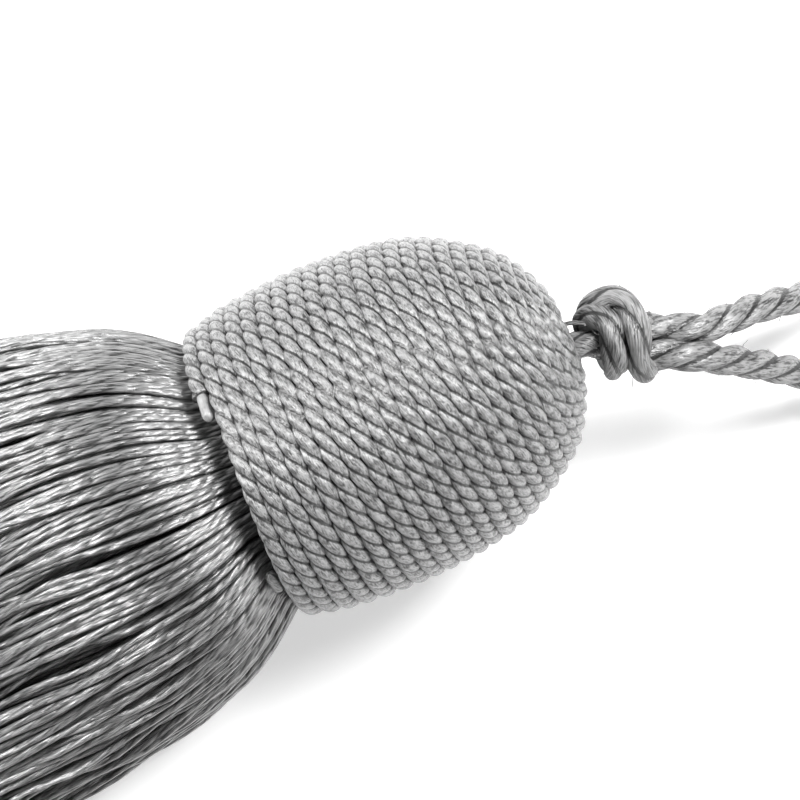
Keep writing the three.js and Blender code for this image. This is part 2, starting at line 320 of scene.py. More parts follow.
def press_on_floor(piece: bpy.types.Object) -> None:
    """Flattens what a piece would have below the floor onto the floor.

    Args:
        piece: The piece, whose mesh is changed.
    """
    count = len(piece.data.vertices)
    places = np.empty(count * 3, np.float32)
    piece.data.vertices.foreach_get("co", places)
    places[2::3] = np.maximum(places[2::3], 0)
    piece.data.vertices.foreach_set("co", places)
    piece.data.update()


def weld(piece: bpy.types.Object) -> None:
    """Joins the doubled points at a mesh's closed ends and turns its faces outwards.

    Args:
        piece: The piece, whose mesh is changed.
    """
    shape = bmesh.new()
    shape.from_mesh(piece.data)
    bmesh.ops.remove_doubles(shape, verts=shape.verts, dist=WELD_GAP)
    bmesh.ops.recalc_face_normals(shape, faces=shape.faces)
    shape.to_mesh(piece.data)
    shape.free()


def settle(piece: bpy.types.Object, material: bpy.types.Material, slot: Slot, *nodes: str) -> None:
    """Dresses a finished piece, lets it ride on the part, and reports it.

    Args:
        piece: The finished piece.
        material: Its finish.
        slot: The record's material slot; not used.
        nodes: The CAD nodes that it stands for.
    """
    piece.data.materials.clear()
    piece.data.materials.append(material)
    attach(piece, ROOT_BODY)
    if nodes:
        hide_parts(*nodes)
    log.info("%s: %d faces", piece.name, len(piece.data.polygons))


# Finishes

@dataclass(frozen=True)
class YarnFinish:
    """Spun filament yarn: fine parallel fibres with a satin shine across them.

    Attributes:
        name: The finish's name.
        colour: The fibres' colour.
        shade: The painted shade down between the fibres and along the grooves between plies.
        fibre: The width of a visible bundle of fibres, in millimetres.
        around: The yarn's or rope's girth, in millimetres.
        lay: The length of one turn of the plies, in millimetres.
        unlay: How far the fibres turn back against the plies, 1 for straight along.
        plies: The number of plies, 0 for a plain thread.
        laid: Whether the mesh itself has the plies, so that they need no bump.
        crease_shade: How dark the painted shade along the grooves between plies is, 0 for none.
        drawn: How many times longer than wide the bundles of fibres are.
        patch: The width of the paler and duller patches, in millimetres.
        stretch: How many times longer than wide they are.
        mottle: How much those patches count against the fibres.
        spread: How gentle the step from the colour to the shade is.
        thinness: How narrow the lines of painted shade along the grooves are.
        uneven: How irregular the lay of plies drawn as bump is, in radians.
        roughness: The shader's roughness.
        shine: The strength of the satin highlight, 0.5 for plain fibre.
        index: The refractive index, viscose's own unless the satin is stronger.
        satin: Whether the highlight is drawn out across the fibres, which takes a UV map.
        draw_out: How strongly it is drawn out.
        sheen: The strength of the soft light at the edges.
        sheen_roughness: How widely that light spreads.
        relief: The depth of the bump, as a share of a bundle's width.
        patch_relief: How much the patches count in the bump against the fibres.
        ply_relief: How much plies drawn as bump count in it.
        fibre_middle: The middle value of the fibres' noise.
        patch_middle: The middle value of the patches' noise.
        fibre_detail: How many finer layers the fibres' noise has.
        fibre_grain: How strong those layers are.
        patch_detail: How many finer layers the patches' noise has.
        patch_place: Where the patches' noise is cut, away from the fibres'.
    """

    name: str
    colour: str
    shade: str
    fibre: float
    around: float
    lay: float
    unlay: float
    plies: int = 0
    laid: bool = False
    crease_shade: float = 0.0
    drawn: float = 14.0
    patch: float = 1.1
    stretch: float = 1.5
    mottle: float = 1.4
    spread: float = 0.28
    thinness: float = 6.0
    uneven: float = 9.0
    roughness: float = 0.34
    shine: float = 1.0
    index: float = 1.53
    satin: bool = True
    draw_out: float = 0.8
    sheen: float = 0.04
    sheen_roughness: float = 0.4
    relief: float = 0.7
    patch_relief: float = 2.0
    ply_relief: float = 0.5
    fibre_middle: float = 0.46
    patch_middle: float = 0.5
    fibre_detail: float = 2.0
    fibre_grain: float = 0.6
    patch_detail: float = 3.0
    patch_place: float = 7.0

    def build(self) -> bpy.types.Material:
        """Makes the material.

        Returns:
            A node material that reads the piece's own UV map.
        """
        material = bpy.data.materials.new(self.name)
        material.use_nodes = True
        tree = material.node_tree
        shader = tree.nodes["Principled BSDF"]
        height, depth = self.pattern(tree)
        relief = {"Strength": 1.0, "Distance": self.relief * self.fibre * MM, "Height": height}
        bump = add_node(tree, "ShaderNodeBump", {}, relief)
        middle = self.patch_middle * self.mottle + self.fibre_middle
        reach = {"From Min": middle - self.spread, "From Max": middle + self.spread}
        tone = add_node(tree, "ShaderNodeMapRange", {}, {"Value": depth, **reach})
        # Low values take the painted shade, high ones the fibres' colour.
        mixed = add_node(
            tree,
            "ShaderNodeMix",
            {"data_type": "RGBA"},
            {"Factor": tone.outputs[0], "A": linear(self.shade), "B": linear(self.colour)},
        )
        tree.links.new(mixed.outputs["Result"], shader.inputs["Base Color"])
        tree.links.new(bump.outputs[0], shader.inputs["Normal"])
        if self.satin:
            mapped = {"direction_type": "UV_MAP", "uv_map": "UVMap"}
            tangent = add_node(tree, "ShaderNodeTangent", mapped, {})
            tree.links.new(tangent.outputs[0], shader.inputs["Tangent"])
            back = math.atan(self.around / self.lay) / (2 * math.pi) * self.unlay
            shader.inputs["Anisotropic"].default_value = self.draw_out
            # A quarter turn draws the highlight across the fibres instead of along them.
            shader.inputs["Anisotropic Rotation"].default_value = 0.25 - back
        shader.inputs["Roughness"].default_value = self.roughness
        shader.inputs["IOR"].default_value = self.index
        shader.inputs["Specular IOR Level"].default_value = self.shine
        shader.inputs["Sheen Weight"].default_value = self.sheen
        shader.inputs["Sheen Roughness"].default_value = self.sheen_roughness
        return material

    def pattern(self, tree: bpy.types.NodeTree) -> tuple[bpy.types.NodeSocket, bpy.types.NodeSocket]:
        """Draws the fibres, the patches and the grooves between the plies, with painted shade between the
        fibres and along the grooves.

        Args:
            tree: The material's node tree.

        Returns:
            The surface's height for the bump, and its value from dark to pale for the colour: the patches'
            random tone, with painted shade between the fibres and along the grooves.
        """
        place = add_node(tree, "ShaderNodeUVMap", {"uv_map": "UVMap"}, {})
        parts = add_node(tree, "ShaderNodeSeparateXYZ", {}, {0: place.outputs[0]})
        along = parts.outputs[0]
        around = parts.outputs[1]
        slant = self.times(tree, along, self.unlay / self.lay, around)
        across = self.times(tree, slant, self.around / self.fibre)
        drawn = self.times(tree, along, 1 / (self.drawn * self.fibre))
        spot = add_node(tree, "ShaderNodeCombineXYZ", {}, {0: across, 1: drawn}).outputs[0]
        grain = {"Scale": 1.0, "Detail": self.fibre_detail, "Roughness": self.fibre_grain}
        fibres = add_node(tree, "ShaderNodeTexNoise", {}, {"Vector": spot, **grain}).outputs[0]
        blot_across = self.times(tree, slant, self.around / self.patch)
        blot_along = self.times(tree, along, 1 / (self.patch * self.stretch))
        blot_parts = {0: blot_across, 1: blot_along, 2: self.patch_place}
        blot = add_node(tree, "ShaderNodeCombineXYZ", {}, blot_parts).outputs[0]
        blots = {"Vector": blot, "Scale": 1.0, "Detail": self.patch_detail}
        patches = add_node(tree, "ShaderNodeTexNoise", {}, blots).outputs[0]
        height = self.times(tree, patches, self.patch_relief, fibres)
        # The colour's value: the patches' random tone, and painted shade where the fibres' noise is low.
        depth = self.times(tree, patches, self.mottle, fibres)
        if not self.plies:
            return height, depth
        phase = self.times(tree, around, self.plies * 2 * math.pi)
        if not self.laid:
            uneven = self.times(tree, patches, self.uneven, phase)
            phase = self.times(tree, along, 2 * math.pi / self.lay, uneven)
        groove = add_node(tree, "ShaderNodeMath", {"operation": "COSINE"}, {0: phase}).outputs[0]
        # Painted shade: a narrow dark line along each groove between the plies.
        sharp = add_node(tree, "ShaderNodeMath", {"operation": "MAXIMUM"}, {0: groove, 1: 0.0})
        narrowed = {0: sharp.outputs[0], 1: self.thinness}
        painted_groove_shade = add_node(tree, "ShaderNodeMath", {"operation": "POWER"}, narrowed).outputs[0]
        depth = self.times(tree, painted_groove_shade, -self.crease_shade, depth)
        if not self.laid:
            height = self.times(tree, groove, -self.ply_relief, height)
        return height, depth

    @staticmethod
    def times(
        tree: bpy.types.NodeTree,
        value: bpy.types.NodeSocket,
        factor: float,
        plus: bpy.types.NodeSocket | float = 0.0,
    ) -> bpy.types.NodeSocket:
        """Multiplies a value and adds another.

        Args:
            tree: The material's node tree.
            value: The socket to multiply.
            factor: What it is multiplied by.
            plus: What is added to the product.

        Returns:
            The socket with the result.
        """
        terms = {0: value, 1: factor, 2: plus}
        return add_node(tree, "ShaderNodeMath", {"operation": "MULTIPLY_ADD"}, terms).outputs[0]


# Head

@dataclass(frozen=True)
class HeadForm:
    """The dome that the cord is wound on: its axis and its outline over the cord's crests.

    Attributes:
        rim_centre: The middle of the rim plane.
        tilt: How far the axis rises towards the crown, in degrees.
        length: From the rim plane to the crown.
        outline: Distance along the axis and radius, from the crown to the rim.
    """

    rim_centre: tuple[float, float, float] = (22.15, 0.66, 26.4)
    tilt: float = 5.0
    length: float = 60.0
    outline: tuple[tuple[float, float], ...] = (
        (60.0, 2.4),
        (59.2, 8.6),
        (56.0, 15.3),
        (51.5, 20.1),
        (42.7, 25.5),
        (34.2, 27.9),
        (21.4, 29.0),
        (8.5, 28.4),
        (0.0, 26.6),
    )

    @property
    def axes(self) -> np.ndarray:
        """Gives the head's own directions.

        Returns:
            Rows with the direction along the axis to the crown, to the side, and up.
        """
        turn = math.radians(self.tilt)
        along = (math.cos(turn), 0, math.sin(turn))
        up = (-math.sin(turn), 0, math.cos(turn))
        return np.array([along, (0, 1, 0), up])

    def at(self, along: Any, side: Any, up: Any) -> np.ndarray:
        """Gives the point at a place along the axis and offsets from it.

        Args:
            along: Distance from the rim plane towards the crown, one number or many.
            side: Offset to the side.
            up: Offset upwards.

        Returns:
            The point or points, in metres.
        """
        offsets = np.stack(np.broadcast_arrays(along, side, up), axis=-1)
        return (np.array(self.rim_centre) + offsets @ self.axes) * MM

    def profile(self, step: float = 0.05) -> np.ndarray:
        """The smooth outline as rows of distance along the axis and radius."""
        return smooth_route(np.array(self.outline), step, power=0.0)


@dataclass
class WrapCord:
    """The three-ply cord, wound from the crown to the rim in one layer.

    Attributes:
        form: The dome that it is wound on.
        turns: The number of turns in the outline's length.
        end_angle: Where the winding starts and ends around the axis, in degrees.
        plies: The number of plies.
        lay: The length of one turn of the plies.
        plumpness: The cord's radius as a share of its pitch, over a half where turns press.
        fullness: A ply's radius as a share of the cord's.
        rings_per_lay: Rings of the mesh in each turn of the plies.
        sides: Points of the section for each ply.
        twist: The way the plies are laid.
        sag: How far the turns bow towards the skirt on top, and back underneath.
        jog: The share of a turn in which the cord steps to the next turn, near the rim.
        overhang: How far the last turn hangs over the rim plane.
        tip: The length of the smooth gathered tip at the cord's cut end.
        tip_radius: The tip's radius at its thickest.
        tip_step: The distance between rings of the tip.
        tip_overlap: How many rings of the cord the tip reaches back into.
        tip_bluntness: How blunt the tip is.
        tip_least: The square of the tip's scale at its very ends.
        turn_samples: Points of each turn, before they are spaced evenly.
        bow_from: The share of the winding over which the turns start to bow.
        rim_from: The share of the winding over which it takes up the steps at the rim.
        halves: The pieces that the mesh is made in.
    """

    form: HeadForm
    turns: int = 26
    end_angle: float = 66.0
    plies: int = 3
    lay: float = 10.2
    plumpness: float = 0.61
    fullness: float = 0.655
    rings_per_lay: int = 15
    sides: int = 7
    twist: Twist = Twist.S
    sag: float = 0.45
    jog: float = 0.29
    overhang: float = 0.6
    tip: float = 4.8
    tip_radius: float = 1.05
    tip_step: float = 0.25
    tip_overlap: int = 3
    tip_bluntness: float = 5.0
    tip_least: float = 0.04
    turn_samples: int = 360
    bow_from: tuple[float, float] = (0.2, 0.5)
    rim_from: tuple[float, float] = (0.7, 1.0)
    halves: tuple[str, ...] = ("wrap_cord_crown", "wrap_cord_rim")

    @property
    def pitch(self) -> float:
        """The distance from one turn to the next, along the outline."""
        return distances(self.form.profile())[-1] / self.turns

    def route(self) -> np.ndarray:
        """Follows the middle of the cord from the crown to its cut end at the rim.

        Returns:
            Evenly spaced points in metres.
        """
        outline = self.form.profile()
        arc = distances(outline)
        slope = np.gradient(outline, arc, axis=0)
        inset = self.pitch * self.plumpness
        turn = np.linspace(0, self.turns - 1, (self.turns - 1) * self.turn_samples)
        wound = turn / (self.turns - 1)
        angle = math.radians(self.end_angle) + 2 * math.pi * turn
        near_rim = smooth_step(*self.rim_from, wound)
        part = turn % 1.0
        stepped = smooth_step(0, self.jog, part) - part
        bow = self.sag * np.sin(angle) * smooth_step(*self.bow_from, wound) * (1 - near_rim)
        # The cord's middle lies half a pitch along, because the turns are counted by their edges.
        place = (turn + 0.5 + near_rim * stepped) * self.pitch + bow
        over = np.maximum(place + self.overhang * near_rim - arc[-1], 0)
        place = place + self.overhang * near_rim - over
        look = [np.interp(place, arc, column) for column in (*outline.T, *slope.T)]
        along = look[0] - look[3] * inset + look[2] * over
        radius = look[1] + look[2] * inset + look[3] * over
        line = self.form.at(along, radius * np.cos(angle), radius * np.sin(angle))
        return even_steps(line, self.lay / self.rings_per_lay * MM)

    def build(self, material: bpy.types.Material, pale: bpy.types.Material) -> list[bpy.types.Object]:
        """Makes the cord.

        Args:
            material: The cord's finish.
            pale: The finish of its tip.

        Returns:
            The cord's pieces.
        """
        whole = self.route()
        bare = round(self.tip * self.rings_per_lay / self.lay)
        route = whole[:-bare]
        tilt = self.twist.value * 2 * math.pi * distances(route) / (self.lay * MM)
        section = lobed_section(self.plies, self.pitch * self.plumpness * MM, self.fullness, self.sides)
        cut = len(route) // 2
        spans = [slice(0, cut + 1), slice(cut, len(route))]
        pieces = []
        for name, span in zip(self.halves, spans):
            piece = tubes(name, [route[span]], radius=0, section=section, tilts=[tilt[span]])
            press_on_floor(piece)
            weld(piece)
            pieces.append(piece)
        bpy.data.objects.remove(section)
        settle(pieces[0], material, Slot.WRAP, "head")
        settle(pieces[1], material, Slot.WRAP)
        end = even_steps(whole[-bare - self.tip_overlap :], self.tip_step * MM)
        swell = rounded_ends(len(end), self.tip_bluntness, self.tip_least)
        tip = tubes("wrap_cord_tip", [end], self.tip_radius * MM, roundness=3, swells=[swell])
        weld(tip)
        settle(tip, pale, Slot.WRAP)
        return [*pieces, tip]


def turned(form: HeadForm, name: str, profile: list[tuple[float, float]], steps: int) -> bpy.types.Object:
    """Turns a closed profile around the head's axis.

    Args:
        form: The dome whose axis it is turned on.
        name: The new object's name.
        profile: Distances along the axis and radii, from the axis and back to it.
        steps: The number of faces around it.

    Returns:
        The turned solid.
    """
    shape = bmesh.new()
    verts = [shape.verts.new(Vector(form.at(along, 0, radius))) for along, radius in profile]
    edges = [shape.edges.new(pair) for pair in zip(verts, verts[1:])]
    bmesh.ops.spin(
        shape,
        geom=[*verts, *edges],
        cent=Vector(form.at(0, 0, 0)),
        axis=Vector(form.axes[0]),
        angle=2 * math.pi,
        steps=steps,
        use_merge=True,
    )
    bmesh.ops.remove_doubles(shape, verts=shape.verts, dist=TURNED_GAP)
    bmesh.ops.recalc_face_normals(shape, faces=shape.faces)
    mesh = bpy.data.meshes.new(name)
    shape.to_mesh(mesh)
    shape.free()
    mesh.shade_smooth()
    return linked(name, mesh)


@dataclass
class HeadCore:
    """The bound core under the cord, with the mouth that the skirt comes out of.

    Attributes:
        form: The dome.
        under: How far its surface lies beneath the cord's crests.
        mouth_radius: The mouth's radius.
        rim_back: How far the core ends behind the rim plane, under the last turns.
        mouth_depth: The mouth's depth.
        steps: The number of faces around it.
        tail_at: Where the cord's tucked tail lies around the rim, from and to, in degrees.
        tail_out: How far out of the rim plane the tail lies.
        tail_ring: The tail's distance from the axis.
        tail_radius: The tail's radius.
        tail_points: The number of points along the tail.
        tail_bluntness: How blunt the tail's ends are.
        tail_least: The square of the tail's scale at its very ends.
        outline_step: The distance between the core's rings.
    """

    form: HeadForm
    under: float = 1.25
    mouth_radius: float = 23.3
    rim_back: float = 2.9
    mouth_depth: float = 8.0
    steps: int = 96
    tail_at: tuple[float, float] = (132.0, 144.0)
    tail_out: float = 0.9
    tail_ring: float = 24.3
    tail_radius: float = 1.05
    tail_points: int = 16
    tail_bluntness: float = 4.0
    tail_least: float = 0.05
    outline_step: float = 1.5

    def build(self, material: bpy.types.Material, cord: bpy.types.Material) -> list[bpy.types.Object]:
        """Makes the core and the cord's tail inside the rim.

        Args:
            material: The core's finish.
            cord: The tail's finish.

        Returns:
            The core's and the tail's objects.
        """
        outline = self.form.profile(self.outline_step)
        shrunk = [(a - self.under * (a / self.form.length), max(r - self.under, 0.0)) for a, r in outline]
        shrunk = [(a, r) for a, r in shrunk if a > self.rim_back]
        profile = [(shrunk[0][0], 0.0), *shrunk, (self.rim_back, self.mouth_radius)]
        profile += [(self.mouth_depth, self.mouth_radius), (self.mouth_depth, 0.0)]
        core = turned(self.form, "head_core", profile, self.steps)
        press_on_floor(core)
        settle(core, material, Slot.WRAP)
        angle = np.radians(np.linspace(*self.tail_at, self.tail_points))
        ring = self.form.at(-self.tail_out, self.tail_ring * np.cos(angle), self.tail_ring * np.sin(angle))
        swell = rounded_ends(self.tail_points, self.tail_bluntness, self.tail_least)
        tail = tubes("wrap_cord_tail", [ring], self.tail_radius * MM, roundness=2, swells=[swell])
        weld(tail)
        settle(tail, cord, Slot.WRAP)
        return [core, tail]


# Skirt

@dataclass(frozen=True)
class SkirtSection:
    """One section across the skirt.

    Attributes:
        out: Distance out of the rim.
        half: Half width.
        low: Height of the lowest strand.
        high: Height of the highest strand.
        round: How round the section is, 1 for an ellipse and 0 for flat on the floor.
        lean: How much it leans with the head.
    """

    out: float
    half: float
    low: float
    high: float
    round: float
    lean: float


@dataclass(frozen=True)
class Wave:
    """A family of slow waves along the strands.

    Attributes:
        size: The height of the highest wave.
        shortest: The shortest wave's length.
        longest: The longest wave's length.
        least: The lowest wave's height, as a share of the highest.
    """

    size: float
    shortest: float
    longest: float
    least: float = 0.3


@dataclass
class Skirt:
    """The skirt of two-ply yarns, bound into the head's mouth and cut at its end.

    Attributes:
        form: The dome that it comes out of.
        count: The number of strands.
        radius: A strand's radius.
        length_spread: How much shorter the shortest strand is than the longest.
        floor_share: The share of the strands' height range that lies on the floor.
        edge_height: The height of the skirt's side edges over its lowest strand.
        sway: How far the whole skirt waves from side to side.
        sway_length: The length of one such wave.
        sway_lag: How much later the wave comes from side to side, in radians.
        sway_full_at: The distance out at which the sway is full.
        shift: How far the free skirt lies to the side.
        fill: The outermost strands' place, as a share of the section's half width.
        locks: The number of locks that the strands gather in.
        gather: How far the strands draw together in their lock, as a share.
        drift: How far strands wander across the skirt by its cut end.
        lock_wave: The waves that the strands of a lock share.
        strand_wave: The waves that each strand has of its own.
        scatter: How far strands stray from an even spiral at the root, in radians.
        crowding: The power of a strand's rank that places it at the root, 0.5 for evenly
            spread and less for more strands at the outside.
        evening: What is added to that power by the cut end.
        evened_from: The distances out over which it is added.
        thin_edge: The least height of the section's side edges, as a squared share.
        lock_crowding: The power of the rank by which strands are shared out among locks.
        free_from: The distances out over which the strands come free of the rim.
        drift_from: The distances out over which they start to wander.
        near_rim: How much closer the stations are near the rim, 1 for evenly spaced.
        map_shift: The most that a strand's pattern is shifted along it.
        stations: Points along each strand.
        root_radius: The bound root's radius.
        root_length: The bound root's length along the axis.
        root_steps: The number of faces around the bound root.
        seed: The seed of the random numbers.
        sections: The sections from the mouth to the cut end.
    """

    form: HeadForm
    count: int = 1060
    radius: float = 0.5
    length_spread: float = 5.0
    floor_share: float = 0.07
    edge_height: float = 3.0
    sway: float = 1.6
    sway_length: float = 95.0
    sway_lag: float = 2.0
    sway_full_at: float = 60.0
    shift: float = 1.2
    fill: float = 1.035
    locks: int = 230
    gather: float = 0.42
    drift: float = 3.2
    lock_wave: Wave = Wave(1.0, 50.0, 110.0)
    strand_wave: Wave = Wave(0.65, 20.0, 52.0)
    scatter: float = 0.15
    crowding: float = 0.24
    evening: float = 0.26
    evened_from: tuple[float, float] = (40.0, 120.0)
    thin_edge: float = 0.03
    lock_crowding: float = 0.3
    free_from: tuple[float, float] = (2.0, 45.0)
    drift_from: tuple[float, float] = (0.0, 30.0)
    near_rim: float = 1.35
    map_shift: float = 900.0
    stations: int = 30
    root_radius: float = 22.4
    root_length: float = 2.0
    root_steps: int = 64
    seed: int = 20
    sections: tuple[SkirtSection, ...] = (
        SkirtSection(-6.5, 21.6, 5.0, 43.6, 1.0, 1),
        SkirtSection(-1.5, 22.0, 4.5, 45.6, 1.0, 1),
        SkirtSection(1.6, 23.2, 3.6, 47.4, 1.0, 1),
        SkirtSection(7, 27.2, 1.4, 49.9, 0.9, 0.4),
        SkirtSection(13, 30.9, 0.56, 52.0, 0.75, 0),
        SkirtSection(22, 34.6, 0.56, 52.6, 0.55, 0),
        SkirtSection(36, 38.6, 0.56, 48.5, 0.3, 0),
        SkirtSection(55, 42.0, 0.56, 38.0, 0.15, 0),
        SkirtSection(86, 45.5, 0.56, 26.0, 0, 0),
        SkirtSection(120, 48, 0.56, 16, 0, 0),
    )

    def strands(self) -> np.ndarray:
        """Works out the strands' routes.

        Returns:
            An array of strands by stations by coordinates, in millimetres.
        """
        rng = np.random.default_rng(self.seed)
        rank = (np.arange(self.count) + 0.5) / self.count
        golden = math.pi * (3 - math.sqrt(5))
        angle = golden * np.arange(self.count) + self.scatter * rng.standard_normal(self.count)
        reach = 1 - self.length_spread * rng.random(self.count) / self.sections[-1].out
        knots = [self.crossing(section, rank, angle, reach) for section in self.sections]
        control = np.stack(knots, axis=1)
        outs = np.array([section.out for section in self.sections])
        wanted = self.spacing(outs)
        routes = self.through(control, outs, wanted)
        return self.loosened(routes, wanted, rank, angle, rng)

    def spacing(self, outs: np.ndarray) -> np.ndarray:
        """Stations along the skirt, closer together near the rim where the strands bend."""
        share = np.linspace(0, 1, self.stations)
        return outs[0] + (outs[-1] - outs[0]) * share**self.near_rim

    def crossing(
        self, section: SkirtSection, rank: np.ndarray, angle: np.ndarray, reach: np.ndarray
    ) -> np.ndarray:
        """Places every strand in one section.

        Args:
            section: The section.
            rank: Each strand's place from the middle to the outside, 0 to 1.
            angle: Each strand's angle around the middle.
            reach: Each strand's length as a share of the longest.

        Returns:
            A point for each strand, in millimetres.
        """
        evened = float(smooth_step(*self.evened_from, np.array(section.out)))
        spread = self.crowding + self.evening * evened
        from_middle = rank**spread * self.fill
        across = from_middle * np.cos(angle)
        upward = from_middle * np.sin(angle)
        chord = np.sqrt(np.maximum(1 - across**2, self.thin_edge))
        share = np.clip((upward / chord + 1) / 2, 0, 1)
        lifted = np.clip((share - self.floor_share) / (1 - self.floor_share), 0, 1)
        middle = (section.low + section.high) / 2
        edge = section.low + self.edge_height + (middle - section.low - self.edge_height) * section.round
        bottom = section.low + (middle - section.low) * (1 - chord) * section.round
        top = section.high - (section.high - edge) * (1 - chord)
        height = bottom + (top - bottom) * (lifted + (share - lifted) * section.round)
        out = section.out * reach if section.out > 0 else np.full(self.count, section.out)
        wave = 2 * math.pi * section.out / self.sway_length + self.sway_lag * across
        loose = min(max(section.out / self.sway_full_at, 0), 1)
        side = across * section.half + self.shift * loose + self.sway * loose * np.sin(wave)
        axes = self.form.axes
        away = (1 - section.lean) * np.array([1.0, 0, 0]) + section.lean * axes[0]
        up = (1 - section.lean) * np.array([0, 0, 1.0]) + section.lean * axes[2]
        centre = np.array(self.form.rim_centre)
        rise = height - centre[2]
        return centre - out[:, None] * away + side[:, None] * axes[1] + rise[:, None] * up

    @staticmethod
    def through(control: np.ndarray, outs: np.ndarray, wanted: np.ndarray) -> np.ndarray:
        """Runs each strand smoothly through its section points.

        Args:
            control: Strands by sections by coordinates.
            outs: The sections' distances.
            wanted: The stations' distances.

        Returns:
            Strands by stations by coordinates.
        """
        slopes = np.gradient(control, outs, axis=1)
        index = np.clip(np.searchsorted(outs, wanted, side="right") - 1, 0, len(outs) - 2)
        span = (outs[index + 1] - outs[index])[None, :, None]
        share = ((wanted - outs[index])[None, :, None]) / span
        start, end = control[:, index], control[:, index + 1]
        rise, fall = slopes[:, index] * span, slopes[:, index + 1] * span
        squared, cubed = share**2, share**3
        return (
            (2 * cubed - 3 * squared + 1) * start
            + (cubed - 2 * squared + share) * rise
            + (3 * squared - 2 * cubed) * end
            + (cubed - squared) * fall
        )

    def loosened(
        self,
        routes: np.ndarray,
        wanted: np.ndarray,
        rank: np.ndarray,
        angle: np.ndarray,
        rng: np.random.Generator,
    ) -> np.ndarray:
        """Gathers the strands into locks and lets both wave.

        Args:
            routes: Strands by stations by coordinates.
            wanted: The stations' distances.
            rank: Each strand's place from the middle to the outside.
            angle: Each strand's angle around the middle.
            rng: The random numbers.

        Returns:
            The loosened routes.
        """
        outward = rank**self.lock_crowding
        disc = np.column_stack([outward * np.cos(angle), outward * np.sin(angle)])
        heads = rng.choice(self.count, self.locks, replace=False)
        lock = np.argmin(((disc[:, None] - disc[heads][None]) ** 2).sum(2), axis=1)
        members = np.bincount(lock, minlength=self.locks)[:, None, None]
        middle = np.zeros((self.locks, *routes.shape[1:]))
        np.add.at(middle, lock, routes)
        middle /= members
        free = smooth_step(*self.free_from, wanted)[None, :, None]
        pulled = routes + (middle[lock] - routes) * self.gather * free
        waves = np.zeros_like(pulled)
        for wave, owner, number in (
            (self.lock_wave, lock, self.locks),
            (self.strand_wave, np.arange(self.count), self.count),
        ):
            for axis in (1, 2):
                length = rng.uniform(wave.shortest, wave.longest, number)[owner]
                start = rng.uniform(0, 2 * math.pi, number)[owner]
                height = (wave.size * rng.uniform(wave.least, 1.0, number))[owner]
                phase = 2 * math.pi * wanted[None] / length[:, None] + start[:, None]
                waves[:, :, axis] += height[:, None] * np.sin(phase)
        pulled += waves * free
        wander = self.drift * rng.uniform(-1, 1, (self.count, 1)) * (wanted[None] / wanted[-1])
        pulled[:, :, 1] += wander * smooth_step(*self.drift_from, wanted)[None]
        pulled[:, :, 2] = np.maximum(pulled[:, :, 2], self.radius)
        return pulled

    def build(self, material: bpy.types.Material, root: bpy.types.Material) -> list[bpy.types.Object]:
        """Makes the skirt's strands and their bound root.

        Args:
            material: The yarn's finish.
            root: The finish of the bound root.

        Returns:
            The skirt's pieces.
        """
        routes = self.strands() * MM
        rng = np.random.default_rng(self.seed + 1)
        names = ("skirt_inner", "skirt_middle", "skirt_outer")
        pieces = []
        for name, part in zip(names, np.array_split(routes, len(names))):
            piece = tubes(name, list(part), self.radius * MM)
            tell_apart(piece.data, len(part), self.stations, self.map_shift * rng.random(len(part)))
            weld(piece)
            settle(piece, material, Slot.SKIRT)
            pieces.append(piece)
        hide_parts("skirt")
        start = -self.sections[0].out
        profile = [(start, 0.0), (start, self.root_radius), (start - self.root_length, self.root_radius)]
        profile.append((start - self.root_length, 0.0))
        bound = turned(self.form, "skirt_root", profile, self.root_steps)
        settle(bound, root, Slot.SKIRT)
        return [*pieces, bound]


# Knot and loop

@dataclass(frozen=True)
class Rope:
    """Three-strand rope.

    Attributes:
        radius: Over the crests.
        lay: The length of one turn of the strands.
        strands: The number of strands.
        fullness: A strand's radius as a share of the rope's.
        sides: Points of the section for each strand.
        step: The distance between rings of the mesh.
        twist: The way the strands are laid.
    """

    radius: float = 2.4
    lay: float = 21.0
    strands: int = 3
    fullness: float = 0.6
    sides: int = 10
    step: float = 0.35
    twist: Twist = Twist.S

    def along(self, name: str, routes: list[np.ndarray]) -> bpy.types.Object:
        """Lays rope along routes.

        Args:
            name: The new object's name.
            routes: The points that each length of rope passes through, in metres.

        Returns:
            The rope's mesh object.
        """
        section = lobed_section(self.strands, self.radius * MM, self.fullness, self.sides)
        lines = [smooth_route(route, self.step * MM) for route in routes]
        tilts = [self.twist.value * 2 * math.pi * distances(line) / (self.lay * MM) for line in lines]
        piece = tubes(name, lines, radius=0, section=section, tilts=tilts)
        bpy.data.objects.remove(section)
        weld(piece)
        return piece


@dataclass(frozen=True)
class Plan:
    """The plan of the knot and the loop, which veers from the head's axis.

    Attributes:
        form: The dome.
        heading: The plan's direction, in degrees.
        along: The knot's middle, from the rim plane.
        side: The knot's middle, to the side.
        height: The knot's middle, above the floor.
    """

    form: HeadForm
    heading: float = -23.5
    along: float = 67.4
    side: float = -3.2
    height: float = 30.0

    def at(self, rows: tuple[tuple[float, float, float], ...], lift: float = 0.0) -> np.ndarray:
        """Turns rows of out, side and height into points.

        Args:
            rows: Out from the head, side and height of each point.
            lift: What is added to the heights.

        Returns:
            The points in metres.
        """
        turn = math.radians(self.heading)
        out, side, height = np.array(rows).T
        x = self.form.rim_centre[0] + self.along + out * math.cos(turn) - side * math.sin(turn)
        y = self.form.rim_centre[1] + self.side + out * math.sin(turn) + side * math.cos(turn)
        return np.column_stack([x, y, height + lift]) * MM


